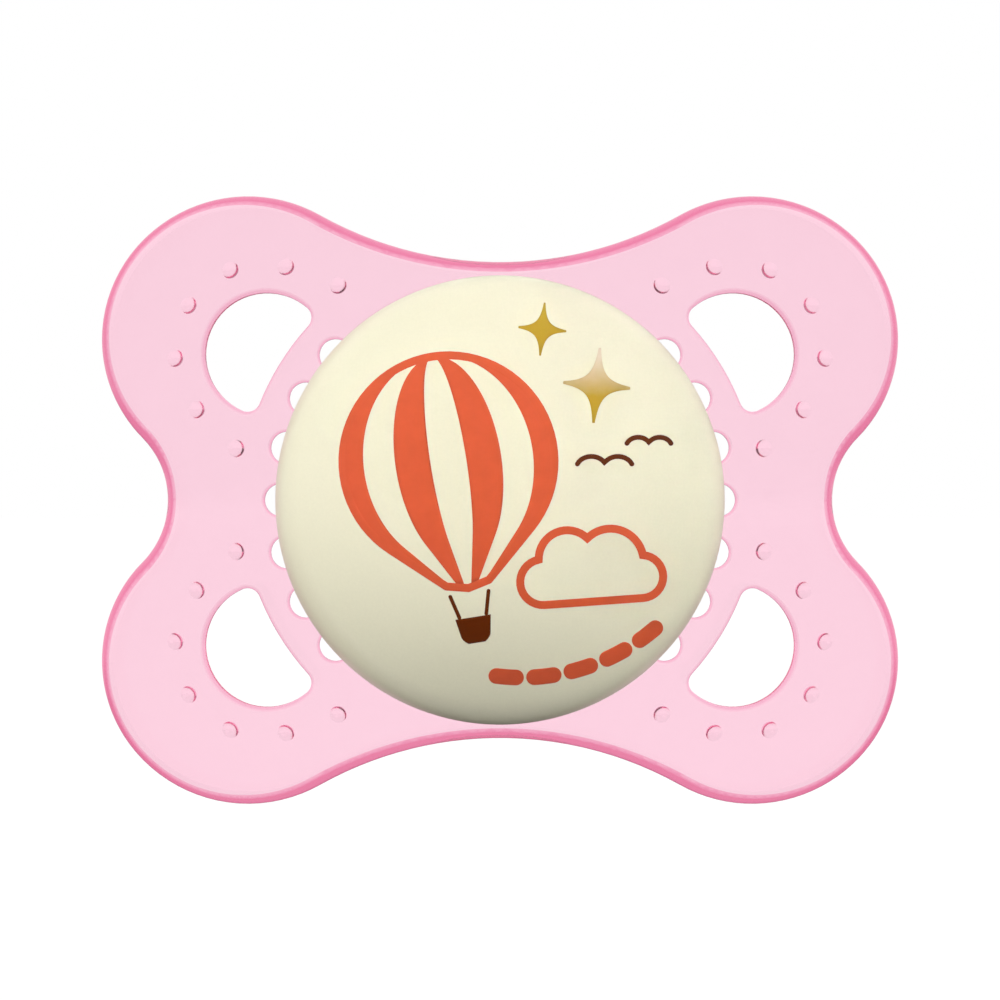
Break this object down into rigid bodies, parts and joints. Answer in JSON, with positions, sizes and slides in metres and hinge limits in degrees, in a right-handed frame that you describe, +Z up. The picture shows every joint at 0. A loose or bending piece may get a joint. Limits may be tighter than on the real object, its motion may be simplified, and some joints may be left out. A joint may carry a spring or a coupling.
{
  "type": "baby pacifier",
  "caption": "Baby pacifier with a tinted see-through butterfly shield, hollow silicone teat and domed ivory button, all press- or snap-fitted.",
  "frame": {"origin": "centre of the button's widest circle, halfway along its straight rim", "axes": "-Y out of the front of the button, +Y along the teat into the mouth, +X along the shield's width, +Z up along its height"},
  "size_m": [0.056, 0.0371, 0.0426],
  "materials": {
    "pink_clear_plastic": "see-through pink, satin moulded",
    "ivory_plastic": "smooth, softly glossy, glow-in-the-dark ivory",
    "white_plastic": "plain moulded",
    "clear_silicone": "see-through, velvety",
    "coral_ink": "screen-printed",
    "brown_ink": "screen-printed",
    "gold_ink": "screen-printed, slightly metallic"
  },
  "bodies": {
    "root": {"shield": "pink_clear_plastic", "teat": "clear_silicone", "teat_plug": "white_plastic", "button_carrier": "white_plastic", "button_cap": "ivory_plastic"}
  },
  "joints": []
}
